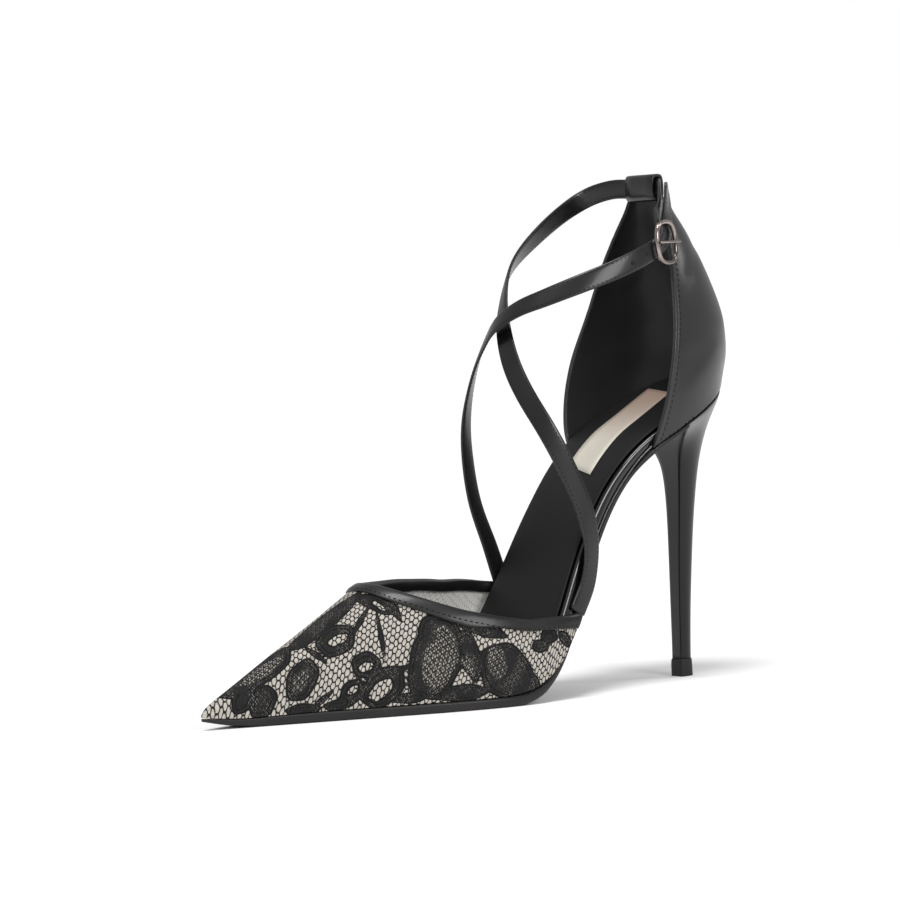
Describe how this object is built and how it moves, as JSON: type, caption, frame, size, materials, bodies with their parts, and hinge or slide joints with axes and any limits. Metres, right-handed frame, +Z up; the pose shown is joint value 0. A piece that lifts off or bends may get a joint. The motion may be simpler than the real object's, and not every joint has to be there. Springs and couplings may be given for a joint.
{
  "type": "stiletto shoe",
  "caption": "Pointed high heeled shoe with a lace covered vamp, open waist, high heel counter and crossed ankle straps closed by a small buckle.",
  "frame": {"origin": "on the floor under the heel tip, on the flat bottom of the heel's top piece", "axes": "+Z up; the toe points along -Y and the heel along +Y; +X is the outer side of this left shoe"},
  "size_m": [0.0667, 0.2188, 0.1819],
  "materials": {
    "sole_leather": "smooth black, slightly worn",
    "board_cover": "glossy smooth black cover",
    "sock_leather": "matt black",
    "lace": "black floral lace over an off-white lining",
    "binding_leather": "satin black",
    "counter_leather": "satin black",
    "heel_cover": "satin black",
    "top_piece": "matt black",
    "strap_leather": "satin black, edge stitched",
    "buckle_metal": "polished dark grey metal"
  },
  "bodies": {
    "root": {"outsole": "sole_leather", "insole_board": "board_cover", "insole_sock": "sock_leather", "vamp": "lace", "vamp_binding": "binding_leather", "counter": "counter_leather", "heel": "heel_cover", "heel_top_piece": "top_piece", "strap_outer_rise": "strap_leather", "strap_inner_rise": "strap_leather", "strap_keeper": "strap_leather", "buckle_frame": "buckle_metal", "buckle_prong": "buckle_metal"}
  },
  "joints": []
}
